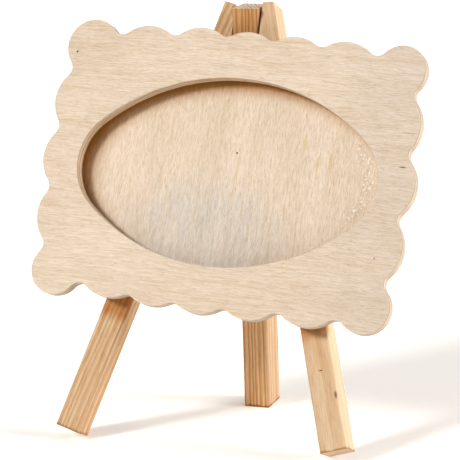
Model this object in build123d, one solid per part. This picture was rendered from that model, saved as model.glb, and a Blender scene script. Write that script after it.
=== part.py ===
from build123d import *
import os
from math import cos, radians, sin, sqrt

# Small table easel in bare wood. Two splayed front legs carry a scalloped picture panel with an
# oval window, and a rear leg swings between their mitred tops on a nail.
#
# The pieces are drawn in the easel's own plane, the plane of the front legs' front faces:
# x to the right, y up the slope from the height of the panel's centre, z out of the front.
# At the end that plane is leaned back, and the whole easel is set down on its three feet.
# All sizes are in millimetres and all angles in degrees.

# Stance
LEAN = 21.4                 # front legs' plane, back from the vertical
SPLAY = 16.0                # each front leg, out from the middle line
REAR_LEAN = 3.0             # rear leg's foot, back from the vertical

# Front legs, sawn by hand and so not quite alike
FRONT_WIDTH = 12.3
LEFT_DEPTH = 11.2
RIGHT_DEPTH = 14.0
RIGHT_LENGTH = 210.9        # the left leg is cut so that both of them reach the ground
LEFT_TOP_X = 12.1           # outer top corners
RIGHT_TOP_X = 11.8
TOP_CORNER_Y = 83.5
LEFT_MITRE_X = 6.9          # mitred inner faces, either side of the rear leg
RIGHT_MITRE_X = 6.7
RIGHT_TOP_SLOPE = 3.0       # the right leg's top is sawn nearly level, the left one's square
STICK_ROUNDING = 0.6

# Rear leg and its pivot
REAR_X = -0.5               # the rear leg sits against the left leg
REAR_WIDTH = 12.4
REAR_DEPTH = 16.4
REAR_ABOVE_PIVOT = 12.1
PIVOT_Y = 71.1
PIVOT_Z = -8.4
NAIL_RADIUS = 0.8
NAIL_HEAD_RADIUS = 1.5
NAIL_HEAD_THICKNESS = 0.7
NAIL_LEFT_END = -13.6       # head, sunk in the left leg's outer face
NAIL_RIGHT_END = 11.4       # point, blind in the right leg
RUNNING_CLEARANCE = 0.06
DRIVEN_CLEARANCE = 0.01

# Panel
PANEL_X = 1.3               # the panel is glued on a little off the middle
PANEL_TWIST = 2.8           # and a little askew, clockwise from the front
BOARD_THICKNESS = 3.0
BOARD_WIDTH = 158.0
BOARD_HEIGHT = 113.0
STRIP_THICKNESS = 2.0       # photo slot
STRIP_WIDTH = 5.0
PLATE_THICKNESS = 6.0
PLATE_ROUNDING = 0.7

# Scalloped outline: the centre of each scallop's arc, cut by hand and so a little uneven,
# going round counterclockwise from the bottom right. A corner also has its own radius.
RIGHT_SCALLOPS = ((71.5, -27.0), (73.0, 1.5), (71.5, 28.5))
TOP_SCALLOPS = ((49.0, 47.5), (24.5, 48.0), (1.5, 48.5), (-21.5, 49.0), (-47.5, 48.0))
LEFT_SCALLOPS = ((-72.5, 27.0), (-73.5, -0.5), (-71.5, -27.5))
BOTTOM_SCALLOPS = ((-47.0, -46.0), (-25.0, -47.5), (-2.0, -48.5), (22.0, -48.5), (49.5, -48.5))
SCALLOP_RADIUS = 17.5
TOP_RIGHT_CORNER = (76.0, 53.8, 11.5)
TOP_LEFT_CORNER = (-75.3, 53.5, 13.0)
BOTTOM_LEFT_CORNER = (-75.0, -53.3, 12.0)
BOTTOM_RIGHT_CORNER = (75.5, -54.0, 12.0)
VALLEY_ROUNDING = 5.0

# Oval window, drawn with four arcs
WINDOW_HALF_WIDTH = 73.0
WINDOW_HALF_HEIGHT = 44.0
WINDOW_END_RADIUS = 26.5
WINDOW_ROUNDING = 0.4
WINDOW_TWIST = 0.9          # counterclockwise in the plate

# Panel pins through the board into the front legs
PIN_RADIUS = 0.6
PIN_LENGTH = 11.0
PIN_HEAD_RADIUS = 1.2
PIN_HEAD_THICKNESS = 0.5
PIN_HEIGHTS = (46.5, -46.5)

OPENING_ANGLE = LEAN + REAR_LEAN
PLATE_BACK = BOARD_THICKNESS + STRIP_THICKNESS
PLATE_FRONT = PLATE_BACK + PLATE_THICKNESS
PANEL_PLACE = Location((PANEL_X, 0, 0), (0, 0, -PANEL_TWIST))


# ---- Sticks ---------------------------------------------------------------

def stick(width, depth, length):
    """A square-cut stick with eased long edges, running along +Z from the origin."""
    return extrude(RectangleRounded(width, depth, STICK_ROUNDING), length)


def leg_direction(side):
    """Down a front leg, and across it to its outer side. side is -1 on the left, 1 on the right."""
    splay = radians(SPLAY)
    down = Vector(side * sin(splay), -cos(splay))
    outward = Vector(side * cos(splay), sin(splay))
    return down, outward


def left_length():
    """The left leg's length: the right leg is deeper, so its back corner reaches lower."""
    lower = (RIGHT_DEPTH - LEFT_DEPTH) * sin(radians(LEAN))
    return RIGHT_LENGTH + lower / (cos(radians(SPLAY)) * cos(radians(LEAN)))


def front_leg(side, depth, length, top_x, mitre_x, top_slope):
    """A front leg with its inner face mitred upright and its top sawn at top_slope to level."""
    down, outward = leg_direction(side)
    spare = FRONT_WIDTH
    corner = Vector(side * top_x, TOP_CORNER_Y)
    centre = corner - outward * (FRONT_WIDTH / 2) - down * spare
    place = Plane(
        origin=(centre.X, centre.Y, -depth / 2),
        x_dir=(outward.X, outward.Y, 0),
        z_dir=(down.X, down.Y, 0),
    )
    leg = place.location * stick(FRONT_WIDTH, depth, length + spare)
    reach = 4 * FRONT_WIDTH
    above = Location((corner.X, corner.Y, 0), (0, 0, side * top_slope)) * Box(
        reach, reach, reach, align=(Align.CENTER, Align.MIN, Align.CENTER)
    )
    inner = Location((side * mitre_x, TOP_CORNER_Y, 0)) * Box(
        reach, 2 * reach, reach, align=(Align.MAX if side > 0 else Align.MIN, Align.CENTER, Align.CENTER)
    )
    return leg - above - inner


def pivot_cylinder(radius, low, high):
    """A cylinder on the pivot axis, from x = low to x = high."""
    axis = Plane(origin=(low, PIVOT_Y, PIVOT_Z), x_dir=(0, 1, 0), z_dir=(1, 0, 0))
    return axis.location * extrude(Circle(radius), high - low)


def pivot_nail():
    shank = pivot_cylinder(NAIL_RADIUS, NAIL_LEFT_END, NAIL_RIGHT_END)
    head = pivot_cylinder(NAIL_HEAD_RADIUS, NAIL_LEFT_END, NAIL_LEFT_END + NAIL_HEAD_THICKNESS)
    return shank + head


def nail_hole():
    """The hole that the nail leaves in the front legs, with the sunk head's pit on the left."""
    radius = NAIL_RADIUS + DRIVEN_CLEARANCE
    head_radius = NAIL_HEAD_RADIUS + DRIVEN_CLEARANCE
    shank = pivot_cylinder(radius, NAIL_LEFT_END, NAIL_RIGHT_END + DRIVEN_CLEARANCE)
    pit = pivot_cylinder(head_radius, NAIL_LEFT_END - FRONT_WIDTH, NAIL_LEFT_END + NAIL_HEAD_THICKNESS)
    return shank + pit


def rear_leg(foot_reach):
    """The rear leg, with foot_reach of it below the pivot."""
    opening = radians(OPENING_ANGLE)
    down = Vector(0, -cos(opening), -sin(opening))
    top = Vector(REAR_X, PIVOT_Y, PIVOT_Z) - down * REAR_ABOVE_PIVOT
    place = Plane(origin=top, x_dir=(1, 0, 0), z_dir=down)
    leg = place.location * stick(REAR_WIDTH, REAR_DEPTH, REAR_ABOVE_PIVOT + foot_reach)
    return leg - pivot_cylinder(NAIL_RADIUS + RUNNING_CLEARANCE, -REAR_WIDTH, REAR_WIDTH)


# ---- Panel ----------------------------------------------------------------

def scallops():
    """Centre and radius of every arc of the outline, counterclockwise."""
    turn = []
    for side, corner in (
        (RIGHT_SCALLOPS, TOP_RIGHT_CORNER),
        (TOP_SCALLOPS, TOP_LEFT_CORNER),
        (LEFT_SCALLOPS, BOTTOM_LEFT_CORNER),
        (BOTTOM_SCALLOPS, BOTTOM_RIGHT_CORNER),
    ):
        turn.extend((Vector(x, y), SCALLOP_RADIUS) for x, y in side)
        turn.append((Vector(corner[0], corner[1]), corner[2]))
    return turn


def right_of(direction):
    """The unit vector to the right of a direction: outwards, going counterclockwise."""
    return Vector(direction.Y, -direction.X).normalized()


def valley(scallop, next_scallop):
    """Where the arcs of two neighbouring scallops cross, on the outside."""
    centre, radius = scallop
    next_centre, next_radius = next_scallop
    across = next_centre - centre
    gap = across.length
    along = (gap**2 + radius**2 - next_radius**2) / (2 * gap)
    return centre + across * (along / gap) + right_of(across) * sqrt(radius**2 - along**2)


def plate_outline():
    """The scalloped outline: an arc for each scallop, with rounded valleys between them."""
    turn = scallops()
    valleys = [valley(turn[i - 1], turn[i]) for i in range(len(turn))]
    arcs = []
    for i, (centre, radius) in enumerate(turn):
        start = valleys[i]
        end = valleys[(i + 1) % len(turn)]
        arcs.append(ThreePointArc(start, centre + right_of(end - start) * radius, end))
    face = make_face(arcs)
    return fillet(face.vertices(), VALLEY_ROUNDING)


def window_outline():
    """A four-centred oval: tight arcs at the ends, wide arcs above and below."""
    end_x = WINDOW_HALF_WIDTH - WINDOW_END_RADIUS
    drop = WINDOW_HALF_HEIGHT - WINDOW_END_RADIUS
    side_radius = (end_x**2 + WINDOW_HALF_HEIGHT**2 - WINDOW_END_RADIUS**2) / (2 * drop)
    side_y = side_radius - WINDOW_HALF_HEIGHT
    length = sqrt(end_x**2 + side_y**2)
    join_x = end_x * side_radius / length
    join_y = side_y * side_radius / length - side_y
    arcs = []
    for x, y in ((1, 1), (-1, -1)):
        arcs.append(ThreePointArc(
            (x * join_x, -y * join_y), (x * WINDOW_HALF_WIDTH, 0), (x * join_x, y * join_y)
        ))
        arcs.append(ThreePointArc(
            (x * join_x, y * join_y), (0, y * WINDOW_HALF_HEIGHT), (-x * join_x, y * join_y)
        ))
    return make_face(arcs)


def front_plate():
    body = extrude(plate_outline(), PLATE_THICKNESS)
    body = fillet(body.edges().filter_by(GeomType.LINE, reverse=True), PLATE_ROUNDING)
    window = Rotation(0, 0, WINDOW_TWIST) * extrude(window_outline(), PLATE_THICKNESS)
    body = body - window
    rim = body.faces().sort_by(Axis.Z)[-1].inner_wires()[0]
    body = fillet(rim.edges(), WINDOW_ROUNDING)
    return PANEL_PLACE * Location((0, 0, PLATE_BACK)) * body


def board():
    blank = Box(BOARD_WIDTH, BOARD_HEIGHT, BOARD_THICKNESS, align=(Align.CENTER, Align.CENTER, Align.MIN))
    return PANEL_PLACE * blank


def slot_strips():
    """Strips between board and plate on three sides. The right-hand side is left open."""
    inner_height = BOARD_HEIGHT - 2 * STRIP_WIDTH
    strip_y = (BOARD_HEIGHT - STRIP_WIDTH) / 2
    strip_x = (BOARD_WIDTH - STRIP_WIDTH) / 2
    layout = {
        "slot_strip_top": (0, strip_y, BOARD_WIDTH, STRIP_WIDTH),
        "slot_strip_bottom": (0, -strip_y, BOARD_WIDTH, STRIP_WIDTH),
        "slot_strip_left": (-strip_x, 0, STRIP_WIDTH, inner_height),
    }
    strips = {}
    for name, (x, y, width, height) in layout.items():
        strip = Box(width, height, STRIP_THICKNESS, align=(Align.CENTER, Align.CENTER, Align.MIN))
        strips[name] = PANEL_PLACE * Location((x, y, BOARD_THICKNESS)) * strip
    return strips


def pin_points():
    """Where the panel pins stand: on each front leg's middle line, at the pin heights."""
    points = []
    for side, top_x in ((-1, LEFT_TOP_X), (1, RIGHT_TOP_X)):
        down, outward = leg_direction(side)
        start = Vector(side * top_x, TOP_CORNER_Y) - outward * (FRONT_WIDTH / 2)
        for y in PIN_HEIGHTS:
            point = start + down * ((start.Y - y) / -down.Y)
            points.append((point.X, point.Y))
    return points


def panel_pin(x, y, clearance):
    """A panel pin with its head flush with the board's front, or the hole that it leaves."""
    top = Location((x, y, BOARD_THICKNESS))
    hanging = (Align.CENTER, Align.CENTER, Align.MAX)
    shank = Cylinder(PIN_RADIUS + clearance, PIN_LENGTH + clearance, align=hanging)
    head = Cylinder(PIN_HEAD_RADIUS + clearance, PIN_HEAD_THICKNESS, align=hanging)
    return top * (shank + head)


# ---- Assembly -------------------------------------------------------------

def easel_parts():
    pins = [panel_pin(x, y, 0) for x, y in pin_points()]
    pin_holes = Part() + [panel_pin(x, y, DRIVEN_CLEARANCE) for x, y in pin_points()]
    left_leg = front_leg(-1, LEFT_DEPTH, left_length(), LEFT_TOP_X, LEFT_MITRE_X, SPLAY)
    right_leg = front_leg(1, RIGHT_DEPTH, RIGHT_LENGTH, RIGHT_TOP_X, RIGHT_MITRE_X, RIGHT_TOP_SLOPE)
    left_leg = left_leg - nail_hole() - pin_holes
    right_leg = right_leg - nail_hole() - pin_holes

    lean = radians(LEAN)
    easel = Plane(origin=(0, 0, 0), x_dir=(1, 0, 0), z_dir=(0, -cos(lean), sin(lean))).location
    floor = (easel * right_leg).bounding_box().min.Z
    pivot = easel * Location((0, PIVOT_Y, PIVOT_Z))
    rear = radians(REAR_LEAN)
    foot_reach = (pivot.position.Z - floor - REAR_DEPTH / 2 * sin(rear)) / cos(rear)

    parts = {
        "front_plate": front_plate(),
        "back_board": board() - pin_holes,
        "left_front_leg": left_leg,
        "right_front_leg": right_leg,
        "rear_leg": rear_leg(foot_reach),
        "pivot_nail": pivot_nail(),
        "panel_pins": Compound(children=pins),
        **slot_strips(),
    }
    placed = {name: easel * part for name, part in parts.items()}

    box = Compound(children=[Compound(part.wrapped) for part in placed.values()]).bounding_box()
    ground = Location((-box.center().X, -box.center().Y, -box.min.Z))
    return {name: ground * part for name, part in placed.items()}, ground * pivot


parts, pivot_place = easel_parts()
os.makedirs("parts", exist_ok=True)
for name, part in parts.items():
    export_step(part, f"parts/{name}.step")
print("pivot axis passes through", pivot_place.position)
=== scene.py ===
"""Looks of the small table easel: bare plywood and pine, a steel nail, a pale studio.

The CAD model is shown as it is. Each piece gets its own procedural material, which is worked out
in the piece's own millimetres from its middle. On the board and the plate x is to the right, y up
and z out of the front. On a leg x is up the leg, y to the left and z out of the front.
"""

from math import cos, radians, sin

import bpy
import numpy as np
from mathutils import Matrix, Vector


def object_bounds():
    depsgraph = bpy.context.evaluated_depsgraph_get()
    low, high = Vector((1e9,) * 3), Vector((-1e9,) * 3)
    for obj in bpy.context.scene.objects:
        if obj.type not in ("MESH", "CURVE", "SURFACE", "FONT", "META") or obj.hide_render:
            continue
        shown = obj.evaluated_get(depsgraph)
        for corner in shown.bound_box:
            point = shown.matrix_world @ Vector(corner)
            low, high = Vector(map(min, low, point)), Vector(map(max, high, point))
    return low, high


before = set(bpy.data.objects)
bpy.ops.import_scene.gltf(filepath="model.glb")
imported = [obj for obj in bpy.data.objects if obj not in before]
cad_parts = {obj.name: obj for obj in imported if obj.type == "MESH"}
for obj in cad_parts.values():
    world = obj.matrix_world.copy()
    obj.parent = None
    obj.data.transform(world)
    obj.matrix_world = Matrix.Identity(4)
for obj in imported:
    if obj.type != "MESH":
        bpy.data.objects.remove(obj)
cad_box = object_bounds()

MM = 0.001


def srgb(red, green, blue):
    """A colour given as 0 to 255 on a screen, as the shader's linear values."""
    linear = []
    for value in (red / 255, green / 255, blue / 255):
        linear.append(value / 12.92 if value <= 0.04045 else ((value + 0.055) / 1.055) ** 2.4)
    return (*linear, 1)


# Camera, looking at the middle of the object from the right
CAMERA_AZIMUTH = 20.72
CAMERA_ELEVATION = 11.13
CAMERA_ROLL = -0.82
CAMERA_DISTANCE = 1.0092
CAMERA_RIGHT = -0.00185
CAMERA_UP = -0.00477
CAMERA_LENS = 170.7

# Lights: the direction that each comes from, as degrees round from the front to the right and
# degrees up, then its strength, its angular size in degrees and its colour
KEY_LIGHT = (-36, 32, 2.4, 13, srgb(255, 253, 250))
RIGHT_LIGHT = (95, 15, 3.4, 28, srgb(255, 254, 253))
BACK_LIGHT = (165, 50, 0.55, 60, srgb(253, 254, 255))
TOP_LIGHT = (-10, 78, 0.4, 50, srgb(255, 255, 255))
SKY_STRENGTH = 0.05
SKY_COLOUR = srgb(255, 226, 190)
FLOOR_COLOUR = srgb(250, 248, 245)
FLOOR_GLOW = 0.29
FLOOR_REACH = 12.0

# Wood
PLATE_PLIES = 5
BOARD_PLIES = 3
PITH_DISTANCE = 70.0        # from a stick's middle to the middle of its growth rings
RESIN_STREAK_HALF = (0.55, 3.2)
SPECK_HALF = (0.5, 0.5)
DASH_HALF = (1.5, 0.35)
SAME_PLANE_COSINE = 0.9999  # two faces whose normals agree this well are one flat face

# Colours in the materials. The wood's own colour is multiplied by a tint.
PLY_BAND_TINT = srgb(249, 244, 236)
PLY_FIBRE_TINT = srgb(238, 231, 221)
PLY_LINE_TINT = srgb(247, 242, 234)
PLY_PORE_TINT = srgb(214, 196, 172)
PLY_SPECK_TINT = srgb(150, 112, 76)
PLY_OUTER_EDGE = srgb(208, 203, 194)
PLY_END_GRAIN_TINT = srgb(222, 209, 192)
PLY_GLUE_TINT = srgb(178, 152, 122)
PLY_SAW_BURN_TINT = srgb(236, 225, 210)
GREY_PATCH_TINT = srgb(228, 237, 250)
RESIN_TINT = srgb(246, 232, 190)
BOARD_SPECK_TINT = srgb(120, 84, 60)
PAINTED_SHADOW_TINT = srgb(186, 134, 56)
FUZZ_GAP_TINT = srgb(228, 208, 186)
FUZZ_COLOUR = srgb(254, 244, 226)
PLATE_END_SHADE_TINT = srgb(244, 246, 251)
PLATE_DASH_TINT = srgb(172, 124, 76)
PLATE_DOT_TINT = srgb(120, 92, 66)
PINE_CLOUD_TINT = srgb(246, 234, 218)
PINE_FIBRE_TINT = srgb(240, 226, 208)
PINE_PORE_TINT = srgb(200, 164, 124)
PINE_FLECK_TINT = srgb(172, 120, 74)
PINE_SPOT_TINT = srgb(132, 84, 44)
PINE_MARK_TINT = srgb(150, 104, 62)
PINE_PANEL_SHADOW_TINT = srgb(218, 180, 124)
PINE_HEAD_TINT = srgb(238, 218, 184)
PINE_FOOT_TINT = srgb(190, 146, 84)
PINE_SAWN_RING_TINT = srgb(222, 200, 176)
PINE_WORN_TINT = srgb(222, 190, 154)
STEEL_BRIGHT = srgb(196, 196, 194)
STEEL_TARNISHED = srgb(150, 142, 132)
STEEL_MARK_TINT = srgb(214, 214, 214)

# Places on the panel, in millimetres to the right of and above the middle of board or plate.
# A half is half of an oval's length and height.
GREY_PATCH_MIDDLE = (-8, -30)
GREY_PATCH_HALF = (36, 24)
RESIN_STREAKS = ((47.4, 11.5), (41.2, 8.0), (34.4, 18.0), (29.0, -14.0))
BOARD_SPECK = (2.0, 10.7)
WINDOW_HALF = (73.0, 44.0)
PAINTED_SHADOW_SHIFT = (5.3, -4.3)  # painted shadow: the brown margin lies between the window moved by this
PAINTED_SHADOW_HALF = (82, 53)      # and this oval
OUTER_EDGE_BEYOND = (76, 48)    # an edge beyond this oval is an outer one, not the window's
FUZZ_MIDDLE = (46.5, 2.0)
FUZZ_RADIUS = 20.5
FUZZ_REACH = 3.6
PLATE_DASH = (83.9, 9.7)
PLATE_DOT = (-82.5, 50.0)
PLATE_END_SHADE_FROM = 30
PLATE_END_SHADE_TO = 75

# Marks on the right front leg: up from its middle and to the left, and their half sizes
RIGHT_LEG_MARKS = (((-81.5, -5.4), (1.6, 0.6)), ((-69.5, -0.3), (0.3, 0.9)))


# ---- Places and directions from the frame ----------------------------------

def crease_directions(piece):
    """Length and direction of each edge of the mesh that isn't inside a flat face."""
    mesh = piece.data
    faces_at = {}
    for face in mesh.polygons:
        for key in face.edge_keys:
            faces_at.setdefault(key, []).append(face.normal)
    found = []
    for (a, b), normals in faces_at.items():
        inside_flat = len(normals) == 2 and normals[0].dot(normals[1]) > SAME_PLANE_COSINE
        if not inside_flat:
            edge = mesh.vertices[b].co - mesh.vertices[a].co
            found.append((edge.length, edge.normalized()))
    return found


class Place:
    """A piece's own axes: along its longest straight edge, across, and out of its front face."""

    def __init__(self, piece, like=None):
        if like is None:
            along = max(crease_directions(piece), key=lambda item: item[0])[1]
            if along.x + along.z < 0:
                along = -along
            largest = max(face.area for face in piece.data.polygons)
            flats = [
                face.normal for face in piece.data.polygons
                if face.area > 0.2 * largest and abs(face.normal.dot(along)) < 0.01
            ]
            out = min(flats, key=lambda normal: normal.y).copy()
            across = out.cross(along)
            self.axes = Matrix((along, across, out))
        else:
            self.axes = like.axes
        local = np.array([self.axes @ vertex.co for vertex in piece.data.vertices])
        low, high = local.min(0), local.max(0)
        self.middle = Vector((low + high) / 2)
        self.half = (high - low) / 2 / MM


# ---- Materials: short calls for the nodes ------------------------------------

class Shader:
    """A material under construction, in the millimetres of the piece that it is for."""

    def __init__(self, name, place):
        self.material = bpy.data.materials.new(name)
        self.material.use_nodes = True
        tree = self.material.node_tree
        self.nodes, self.links = tree.nodes, tree.links
        self.surface = self.nodes["Principled BSDF"]
        turn = place.axes.to_euler()
        source = self.nodes.new("ShaderNodeTexCoord")
        self.point = self.add("Mapping", {
            "Vector": source.outputs["Object"],
            "Location": place.middle * (-1 / MM),
            "Rotation": turn,
            "Scale": (1 / MM, 1 / MM, 1 / MM),
        })
        self.normal = self.add("Mapping", {"Vector": source.outputs["Normal"], "Rotation": turn})

    def put(self, socket, value):
        if isinstance(value, bpy.types.NodeSocket):
            self.links.new(value, socket)
        else:
            socket.default_value = value

    def add(self, kind, inputs, output=0, **settings):
        node = self.nodes.new("ShaderNode" + kind)
        for key, value in settings.items():
            setattr(node, key, value)
        for key, value in inputs.items():
            self.put(node.inputs[key], value)
        return node.outputs[output]

    def math(self, operation, *values):
        return self.add("Math", dict(enumerate(values)), operation=operation)

    def times(self, first, second):
        return self.math("MULTIPLY", first, second)

    def plus(self, first, second):
        return self.math("ADD", first, second)

    def minus(self, first, second):
        return self.math("SUBTRACT", first, second)

    def absolute(self, value):
        return self.math("ABSOLUTE", value)

    def distance(self, first, second):
        """The length of the vector with these two parts."""
        return self.math("SQRT", self.plus(self.times(first, first), self.times(second, second)))

    def scaled(self, vector, *factors):
        return self.add("VectorMath", {0: vector, 1: factors}, operation="MULTIPLY")

    def moved(self, vector, *offset):
        return self.add("VectorMath", {0: vector, 1: offset}, operation="ADD")

    def parts(self, vector):
        node = self.nodes.new("ShaderNodeSeparateXYZ")
        self.put(node.inputs[0], vector)
        return node.outputs

    def vector(self, x, y, z):
        return self.add("CombineXYZ", {0: x, 1: y, 2: z})

    def noise(self, vector, detail=3.0, roughness=0.55):
        """Smooth random values about 0.5, one lump to a unit of the vector."""
        return self.add("TexNoise", {
            "Vector": vector, "Scale": 1.0, "Detail": detail, "Roughness": roughness,
        })

    def span(self, value, low, high, start, end, kind="LINEAR"):
        """value carried from the range low..high to start..end."""
        return self.add("MapRange", {
            "Value": value, "From Min": low, "From Max": high, "To Min": start, "To Max": end,
        }, interpolation_type=kind)

    def step(self, value, low, high):
        """0 below low, 1 above high, and smooth between. A larger low turns it round."""
        if low > high:
            return self.span(value, high, low, 1.0, 0.0, "SMOOTHSTEP")
        return self.span(value, low, high, 0.0, 1.0, "SMOOTHSTEP")

    def blend(self, factor, first, second, kind="MIX"):
        return self.add("Mix", {0: factor, 6: first, 7: second}, output=2,
                        data_type="RGBA", blend_type=kind)

    def tint(self, factor, colour, by):
        """colour, multiplied by another colour as far as factor says."""
        return self.blend(factor, colour, by, "MULTIPLY")

    def specks(self, spacing, size, share, seed):
        """Round spots of about that size in mm, in that share of the cells."""
        shifted = self.moved(self.point, seed, seed / 2, seed / 3)
        cells = self.nodes.new("ShaderNodeTexVoronoi")
        self.put(cells.inputs["Vector"], self.scaled(shifted, *[1 / spacing] * 3))
        cells.inputs["Scale"].default_value = 1.0
        lumps = self.noise(self.scaled(shifted, 1.2, 2.4, 2.4))
        ragged = self.plus(cells.outputs["Distance"], self.span(lumps, 0, 1, -0.02, 0.02))
        spot = self.step(ragged, size / spacing, 0.4 * size / spacing)
        chosen = self.step(self.parts(cells.outputs["Color"])[0], share + 0.01, share)
        return self.times(spot, chosen)

    def oval(self, x, y, middle, half, edge=0.4):
        """1 inside an oval about middle, with half its length and height, and 0 outside."""
        across = self.math("DIVIDE", self.minus(x, middle[0]), half[0])
        upward = self.math("DIVIDE", self.minus(y, middle[1]), half[1])
        reach = self.distance(across, upward)
        return self.step(reach, 1 + edge, 1 - edge)

    def finish(self, colour, roughness, height, depth, specular=0.3):
        """Ends the material: height is a 0 to 1 relief, depth millimetres deep."""
        self.put(self.surface.inputs["Base Color"], colour)
        self.put(self.surface.inputs["Roughness"], roughness)
        self.surface.inputs["Specular IOR Level"].default_value = specular
        relief = self.add("Bump", {"Height": height, "Strength": 1.0, "Distance": depth * MM})
        self.put(self.surface.inputs["Normal"], relief)
        return self.material


# ---- Plywood -------------------------------------------------------------------

def plywood(name, place, plies, upright_face, face_colours, grain_rate, extra):
    """Layered wood. Neighbouring plies cross, so an edge shows end grain and side grain in turn.

    upright_face: the grain of the face plies runs up, and not from left to right.
    grain_rate: how often the face's fibres change along the grain, to a millimetre.
    extra: adds the marks of the front face to a colour and a height.
    """
    light, dark = face_colours
    sh = Shader(name, place)
    x, y, z = sh.parts(sh.point)
    thickness = 2 * place.half[2]
    wander = sh.noise(sh.scaled(sh.point, 0.06, 0.06, 0.0), detail=2)
    level = sh.plus(sh.span(z, -thickness / 2, thickness / 2, 0, plies),
                    sh.span(wander, 0, 1, -0.12, 0.12))
    ply = sh.math("FLOOR", sh.math("MINIMUM", sh.math("MAXIMUM", level, 0.02), plies - 0.02))
    turned_ply = sh.math("MODULO", ply, 2.0)
    crossing = sh.minus(1.0, turned_ply) if upright_face else turned_ply
    turned = sh.vector(y, x, z)
    grain = sh.add("Mix", {0: crossing, 4: sh.point, 5: turned}, output=1, data_type="VECTOR")

    sway = sh.span(sh.noise(sh.scaled(grain, 0.015, 0.05, 0.0), detail=1), 0, 1, -3, 3)
    flow = sh.add("VectorMath", {0: grain, 1: sh.vector(0.0, sway, 0.0)}, operation="ADD")
    clouds = sh.noise(sh.scaled(flow, 0.012, 0.05, 0.1), detail=4, roughness=0.6)
    bands = sh.noise(sh.scaled(flow, 0.016, 0.5, 0.5), detail=3, roughness=0.6)
    fibres = sh.noise(sh.scaled(flow, grain_rate, 2.2, 2.2), detail=5, roughness=0.8)
    pores = sh.step(sh.noise(sh.scaled(flow, 0.30, 2.6, 2.6), detail=1), 0.58, 0.72)

    colour = sh.blend(sh.step(clouds, 0.30, 0.72), light, dark)
    colour = sh.tint(sh.step(bands, 0.46, 0.80), colour, PLY_BAND_TINT)
    colour = sh.tint(sh.step(fibres, 0.38, 0.62), colour, PLY_FIBRE_TINT)
    lines = sh.noise(sh.scaled(flow, 0.45 * grain_rate, 1.5, 1.5), detail=3, roughness=0.7)
    colour = sh.tint(sh.step(lines, 0.50, 0.66), colour, PLY_LINE_TINT)
    colour = sh.tint(sh.times(pores, 0.35), colour, PLY_PORE_TINT)
    colour = sh.tint(sh.specks(21, 0.55, 0.16, 7.0), colour, PLY_SPECK_TINT)

    nx, ny, nz = sh.parts(sh.normal)
    on_edge = sh.step(sh.absolute(nz), 0.75, 0.3)
    inside = sh.oval(x, y, (0, 0), OUTER_EDGE_BEYOND, edge=0.02)
    outer_edge = sh.times(on_edge, sh.minus(1.0, inside))
    colour = sh.blend(sh.times(outer_edge, 0.7), colour, PLY_OUTER_EDGE)
    along = sh.add("Mix", {0: crossing, 2: nx, 3: ny}, data_type="FLOAT")
    end_grain = sh.step(sh.absolute(along), 0.25, 0.9)
    colour = sh.tint(end_grain, colour, PLY_END_GRAIN_TINT)
    joint = sh.absolute(sh.minus(sh.math("FRACT", sh.plus(level, 0.5)), 0.5))
    glue = sh.times(sh.step(joint, 0.10, 0.04), on_edge)
    colour = sh.tint(sh.times(glue, 0.6), colour, PLY_GLUE_TINT)
    burn_lumps = sh.noise(sh.scaled(sh.point, 0.09, 0.09, 0.3))
    saw_burn = sh.times(on_edge, sh.step(burn_lumps, 0.4, 0.75))
    colour = sh.tint(saw_burn, colour, PLY_SAW_BURN_TINT)

    height = sh.plus(sh.times(fibres, 0.7), sh.times(pores, -0.4))
    marked_colour, marked_height = extra(sh, colour, height)
    front = sh.step(nz, 0.3, 0.7)
    colour = sh.blend(front, colour, marked_colour)
    height = sh.add("Mix", {0: front, 2: height, 3: marked_height}, data_type="FLOAT")
    roughness = sh.span(fibres, 0.3, 0.7, 0.62, 0.80)
    return sh.finish(colour, roughness, height, depth=0.16)


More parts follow.
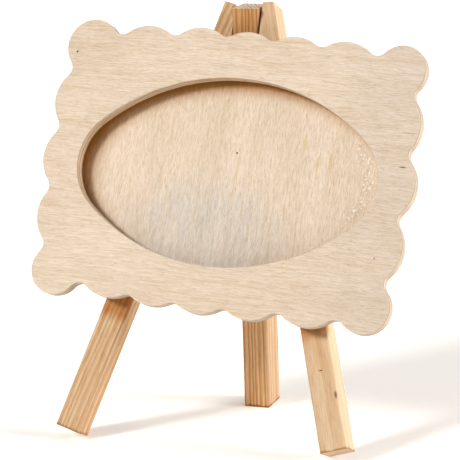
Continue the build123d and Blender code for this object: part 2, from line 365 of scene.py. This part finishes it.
def board_marks(sh, colour, height):
    """A grey patch, resin streaks, a speck, painted shadow as a brown margin inside the window's upper
    left, and fuzz at its right end.
    """
    x, y, _ = sh.parts(sh.point)
    ragged = sh.span(sh.noise(sh.scaled(sh.point, 0.30, 0.05, 0.0), detail=4), 0, 1, -10, 10)
    frayed_y = sh.plus(y, ragged)
    patch = sh.oval(x, frayed_y, GREY_PATCH_MIDDLE, GREY_PATCH_HALF, edge=0.55)
    worn = sh.span(sh.noise(sh.scaled(sh.point, 0.5, 0.05, 0.0), detail=3), 0.35, 0.65, 0.45, 1.0)
    colour = sh.tint(sh.times(patch, worn), colour, GREY_PATCH_TINT)
    for middle in RESIN_STREAKS:
        streak = sh.oval(x, y, middle, RESIN_STREAK_HALF, edge=0.7)
        colour = sh.tint(sh.times(streak, 0.8), colour, RESIN_TINT)
    colour = sh.tint(sh.oval(x, y, BOARD_SPECK, (0.45, 0.55)), colour, BOARD_SPECK_TINT)

    # Painted shadow: a brown margin on the board inside the window's upper left, where the rim's shadow
    # falls.
    clear = sh.oval(x, y, PAINTED_SHADOW_SHIFT, WINDOW_HALF, edge=0.10)
    inside = sh.oval(x, y, (0, 0), PAINTED_SHADOW_HALF, edge=0.04)
    painted_shadow = sh.times(sh.minus(1.0, clear), inside)
    colour = sh.tint(painted_shadow, colour, PAINTED_SHADOW_TINT)

    fuzz_wobble = sh.span(sh.noise(sh.scaled(sh.point, 0.4, 0.4, 0.0), detail=3), 0, 1, -2.5, 2.5)
    from_x = sh.minus(x, FUZZ_MIDDLE[0])
    from_y = sh.minus(y, FUZZ_MIDDLE[1])
    from_middle = sh.distance(from_x, from_y)
    off_ring = sh.absolute(sh.minus(sh.plus(from_middle, fuzz_wobble), FUZZ_RADIUS))
    near_ring = sh.step(off_ring, FUZZ_REACH, 0.5 * FUZZ_REACH)
    near_end = sh.step(from_x, 0.45 * FUZZ_RADIUS, 0.7 * FUZZ_RADIUS)
    fuzzy = sh.times(near_ring, near_end)
    tuft_lumps = sh.noise(sh.scaled(sh.point, 0.85, 0.75, 0.0), detail=2)
    tufts = sh.step(tuft_lumps, 0.52, 0.60)
    fuzz = sh.times(fuzzy, tufts)
    gaps = sh.times(fuzzy, sh.step(tuft_lumps, 0.44, 0.34))
    colour = sh.tint(sh.times(gaps, 0.7), colour, FUZZ_GAP_TINT)
    colour = sh.blend(sh.times(fuzz, 0.95), colour, FUZZ_COLOUR)
    height = sh.plus(height, sh.times(fuzz, 1.5))
    return colour, height


def plate_marks(sh, colour, height):
    """Painted shade as a greyer right-hand end, and two small brown flaws in the face."""
    x, y, _ = sh.parts(sh.point)
    # Painted shade: the plate's right-hand end is greyer and a little darker.
    right_end_shade = sh.times(sh.step(x, PLATE_END_SHADE_FROM, PLATE_END_SHADE_TO), 0.7)
    colour = sh.tint(right_end_shade, colour, PLATE_END_SHADE_TINT)
    colour = sh.tint(sh.oval(x, y, PLATE_DASH, DASH_HALF, edge=0.6), colour, PLATE_DASH_TINT)
    colour = sh.tint(sh.oval(x, y, PLATE_DOT, SPECK_HALF), colour, PLATE_DOT_TINT)
    return colour, height


# ---- Solid pine ----------------------------------------------------------------

def pine(name, place, rings, colours, seed, right_face=None, flecks=0.0, marks=(),
         panel_shadow=None, feet=0.0, head=0.0):
    """A sawn stick with growth rings.

    rings: how far they face round from the side face, in degrees, their spacing in mm, how far
    they run out of the stick's line, and how strong they are.
    colours: early wood, late wood and sawn end.
    right_face: a colour for the right-hand face, and how much of it.
    marks: brown spots on the front face, each with its middle and its half sizes.
    panel_shadow: from where to where, up from the middle, painted shade darkens the front face where
    the panel casts its shadow.
    feet: how brown the edge of the lower end is. head: the same for the wood of the upper end.
    """
    ring_turn, ring_spacing, tilt, strength = rings
    early, late, sawn = colours
    sh = Shader(name, place)
    shifted = sh.moved(sh.point, seed, seed, seed)
    bend = sh.span(sh.noise(sh.scaled(shifted, 0.012, 0.03, 0.03), detail=2), 0, 1, -2.2, 2.2)
    ripple = sh.span(sh.noise(sh.scaled(shifted, 0.05, 0.35, 0.35), detail=3), 0, 1, -0.35, 0.35)
    x, y, z = sh.parts(sh.point)
    sloping = sh.plus(sh.plus(y, sh.times(x, tilt)), bend)
    turn = radians(ring_turn)
    radius = sh.distance(sh.plus(sloping, PITH_DISTANCE * cos(turn)),
                         sh.plus(z, PITH_DISTANCE * sin(turn)))
    ring = sh.math("DIVIDE", sh.plus(radius, ripple), ring_spacing)
    years = sh.noise(sh.vector(0.0, sh.times(ring, 0.45), seed), detail=1)
    ring = sh.plus(ring, sh.span(years, 0, 1, -0.9, 0.9))
    phase = sh.math("FRACT", ring)
    rise = sh.step(phase, 0.15, 0.70)
    fall = sh.step(phase, 1.0, 0.90)
    fading = sh.noise(sh.scaled(shifted, 0.02, 0.12, 0.12), detail=2)
    fade = sh.span(fading, 0.3, 0.7, 0.65 * strength, strength)
    late_wood = sh.times(sh.times(rise, fall), fade)

    fibres = sh.noise(sh.scaled(shifted, 0.09, 2.0, 2.0), detail=4, roughness=0.65)
    clouds = sh.noise(sh.scaled(shifted, 0.02, 0.10, 0.10), detail=3)
    pores = sh.step(sh.noise(sh.scaled(shifted, 0.22, 3.2, 3.2), detail=1), 0.60, 0.74)

    colour = sh.blend(late_wood, early, late)
    colour = sh.tint(sh.step(clouds, 0.42, 0.70), colour, PINE_CLOUD_TINT)
    colour = sh.tint(sh.step(fibres, 0.42, 0.72), colour, PINE_FIBRE_TINT)
    colour = sh.tint(sh.times(pores, 0.5), colour, PINE_PORE_TINT)
    if flecks:
        colour = sh.tint(sh.specks(9, 0.8, flecks, seed + 3), colour, PINE_FLECK_TINT)
        colour = sh.tint(sh.specks(26, 1.1, 0.35, seed + 11), colour, PINE_SPOT_TINT)

    half_x, half_y, half_z = place.half
    front = sh.step(z, 0.3 * half_z, 0.7 * half_z)
    for middle, half in marks:
        spot = sh.times(sh.oval(x, y, middle, half, edge=0.5), front)
        colour = sh.tint(spot, colour, PINE_MARK_TINT)
    if right_face:
        side_colour, amount = right_face
        on_side = sh.times(sh.step(y, -0.80 * half_y, -0.97 * half_y), amount)
        colour = sh.blend(on_side, colour, side_colour)
    # Painted shadow of the panel on the leg's front face, just below the panel and behind it.
    if panel_shadow:
        low, high = panel_shadow
        panel_shadow_band = sh.times(sh.step(x, low - 4, low + 3), sh.step(x, high + 3, high - 4))
        colour = sh.tint(sh.times(panel_shadow_band, front), colour, PINE_PANEL_SHADOW_TINT)
    if head:
        near_head = sh.times(sh.step(x, 0.55 * half_x, 0.85 * half_x), head)
        colour = sh.tint(near_head, colour, PINE_HEAD_TINT)
    if feet:
        # A darker brown band along the lower end, of uneven width.
        uneven_reach = sh.span(sh.noise(sh.scaled(shifted, 0.3, 0.3, 0.3), detail=2), 0.3, 0.7, 0.2, 1.9)
        from_end = sh.plus(x, half_x)
        near_lower_end = sh.math("LESS_THAN", from_end, uneven_reach)
        lower_end_band = sh.times(near_lower_end, sh.step(from_end, 2.0, 0.3))
        colour = sh.tint(sh.times(lower_end_band, feet), colour, PINE_FOOT_TINT)
    end_grain = sh.step(sh.absolute(sh.parts(sh.normal)[0]), 0.5, 0.9)
    sawn_end = sh.tint(late_wood, sawn, PINE_SAWN_RING_TINT)
    colour = sh.blend(sh.times(end_grain, 0.85), colour, sawn_end)
    near_y = sh.math("DIVIDE", sh.absolute(y), half_y)
    near_z = sh.math("DIVIDE", sh.absolute(z), half_z)
    arris = sh.step(sh.math("MINIMUM", near_y, near_z), 0.86, 0.99)
    handling = sh.noise(sh.scaled(shifted, 0.08, 0.5, 0.5))
    worn = sh.times(arris, sh.span(handling, 0.3, 0.7, 0.1, 0.8))
    colour = sh.tint(worn, colour, PINE_WORN_TINT)

    height = sh.plus(sh.times(fibres, 0.6), sh.times(late_wood, 0.4))
    height = sh.minus(height, sh.times(pores, 0.4))
    roughness = sh.span(fibres, 0.3, 0.7, 0.52, 0.72)
    return sh.finish(colour, roughness, height, depth=0.10)


# ---- Steel ---------------------------------------------------------------------

def nail_steel(name, place):
    """Bright drawn steel with fine marks along the wire and a little tarnish."""
    sh = Shader(name, place)
    marks = sh.noise(sh.scaled(sh.point, 0.3, 9.0, 9.0), detail=4)
    tarnish = sh.noise(sh.scaled(sh.point, 0.5, 0.9, 0.9), detail=3)
    colour = sh.blend(sh.step(tarnish, 0.40, 0.72), STEEL_BRIGHT, STEEL_TARNISHED)
    colour = sh.tint(sh.step(marks, 0.45, 0.75), colour, STEEL_MARK_TINT)
    sh.surface.inputs["Metallic"].default_value = 1.0
    return sh.finish(colour, sh.span(marks, 0.3, 0.7, 0.28, 0.50), marks, depth=0.02, specular=0.5)


def give(piece, material):
    for slot in piece.material_slots:
        slot.material = material


def paint_pieces():
    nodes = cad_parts
    board = Place(nodes["back_board"])
    plate = Place(nodes["front_plate"], like=board)

    give(nodes["front_plate"], plywood(
        "plate_plywood", plate, plies=PLATE_PLIES, upright_face=False,
        face_colours=(srgb(232, 217, 200), srgb(223, 207, 188)),
        grain_rate=0.13, extra=plate_marks))
    give(nodes["back_board"], plywood(
        "board_plywood", board, plies=BOARD_PLIES, upright_face=True,
        face_colours=(srgb(238, 223, 206), srgb(228, 212, 193)),
        grain_rate=0.26, extra=board_marks))

    give(nodes["rear_leg"], pine(
        "pine_rear", Place(nodes["rear_leg"]), rings=(27, 1.75, 0.004, 1.0),
        colours=(srgb(222, 190, 147), srgb(188, 131, 74), srgb(232, 214, 196)), seed=5.0,
        right_face=(srgb(176, 149, 124), 0.5), feet=1.0, head=0.9))
    give(nodes["left_front_leg"], pine(
        "pine_left", Place(nodes["left_front_leg"]), rings=(25, 2.3, 0.02, 0.75),
        colours=(srgb(216, 190, 156), srgb(189, 137, 83), srgb(206, 180, 150)), seed=21.0,
        panel_shadow=(-50, 60), feet=0.7, head=0.3))
    give(nodes["right_front_leg"], pine(
        "pine_right", Place(nodes["right_front_leg"]), rings=(62, 3.2, -0.01, 0.4),
        colours=(srgb(214, 187, 154), srgb(193, 155, 114), srgb(206, 180, 150)), seed=43.0,
        right_face=(srgb(240, 222, 196), 0.28), flecks=0.12, marks=RIGHT_LEG_MARKS,
        panel_shadow=(-53, 60), feet=0.8))
    for index, name in enumerate(("slot_strip_top", "slot_strip_bottom", "slot_strip_left")):
        give(nodes[name], pine(
            "strip_wood_" + str(index + 1), Place(nodes[name]), rings=(70, 2.6, 0.01, 0.5),
            colours=(srgb(216, 190, 156), srgb(192, 154, 112), srgb(206, 180, 150)),
            seed=60.0 + 9 * index))
    for name in ("pivot_nail", "panel_pins"):
        give(nodes[name], nail_steel("steel_" + name, Place(nodes[name])))


# ---- Studio --------------------------------------------------------------------

def towards(azimuth, elevation):
    """A unit vector from the object towards azimuth (0 is the front, 90 the right) and elevation."""
    a, e = radians(azimuth), radians(elevation)
    return Vector((sin(a) * cos(e), -cos(a) * cos(e), sin(e)))


def sun(name, azimuth, elevation, strength, size, colour):
    data = bpy.data.lights.new(name, "SUN")
    data.energy = strength
    data.angle = radians(size)
    data.color = colour[:3]
    light = bpy.data.objects.new(name, data)
    light.rotation_euler = towards(azimuth, elevation).to_track_quat("Z", "Y").to_euler()
    bpy.context.scene.collection.objects.link(light)


def floor():
    """A large pale sheet of card under the object."""
    mesh = bpy.data.meshes.new("floor")
    corners = [(x, y, 0) for x, y in (
        (-FLOOR_REACH, -FLOOR_REACH), (FLOOR_REACH, -FLOOR_REACH),
        (FLOOR_REACH, FLOOR_REACH), (-FLOOR_REACH, FLOOR_REACH))]
    mesh.from_pydata(corners, [], [(0, 1, 2, 3)])
    card = bpy.data.objects.new("floor", mesh)
    bpy.context.scene.collection.objects.link(card)
    card.location.z = cad_box[0][2]
    material = bpy.data.materials.new("pale_card")
    material.use_nodes = True
    surface = material.node_tree.nodes["Principled BSDF"]
    surface.inputs["Base Color"].default_value = FLOOR_COLOUR
    surface.inputs["Roughness"].default_value = 0.9
    surface.inputs["Specular IOR Level"].default_value = 0.1
    surface.inputs["Emission Color"].default_value = FLOOR_COLOUR
    surface.inputs["Emission Strength"].default_value = FLOOR_GLOW
    mesh.materials.append(material)


def sky():
    world = bpy.data.worlds.new("studio")
    world.use_nodes = True
    background = world.node_tree.nodes["Background"]
    background.inputs["Color"].default_value = SKY_COLOUR
    background.inputs["Strength"].default_value = SKY_STRENGTH
    bpy.context.scene.world = world


def camera():
    back = towards(CAMERA_AZIMUTH, CAMERA_ELEVATION)
    level = Vector((cos(radians(CAMERA_AZIMUTH)), sin(radians(CAMERA_AZIMUTH)), 0))
    upward = back.cross(level)
    roll = radians(CAMERA_ROLL)
    right = level * cos(roll) + upward * sin(roll)
    up = upward * cos(roll) - level * sin(roll)
    middle = (Vector(cad_box[0]) + Vector(cad_box[1])) / 2
    data = bpy.data.cameras.new("camera")
    data.lens = CAMERA_LENS
    data.clip_end = 50
    eye = bpy.data.objects.new("camera", data)
    place = middle + right * CAMERA_RIGHT + up * CAMERA_UP + back * CAMERA_DISTANCE
    eye.matrix_world = Matrix.Translation(place) @ Matrix((right, up, back)).transposed().to_4x4()
    bpy.context.scene.collection.objects.link(eye)
    bpy.context.scene.camera = eye


def studio():
    floor()
    sky()
    sun("key", *KEY_LIGHT)
    sun("right", *RIGHT_LIGHT)
    sun("back", *BACK_LIGHT)
    sun("top", *TOP_LIGHT)
    camera()
    bpy.context.scene.view_settings.view_transform = "Standard"


paint_pieces()
studio()
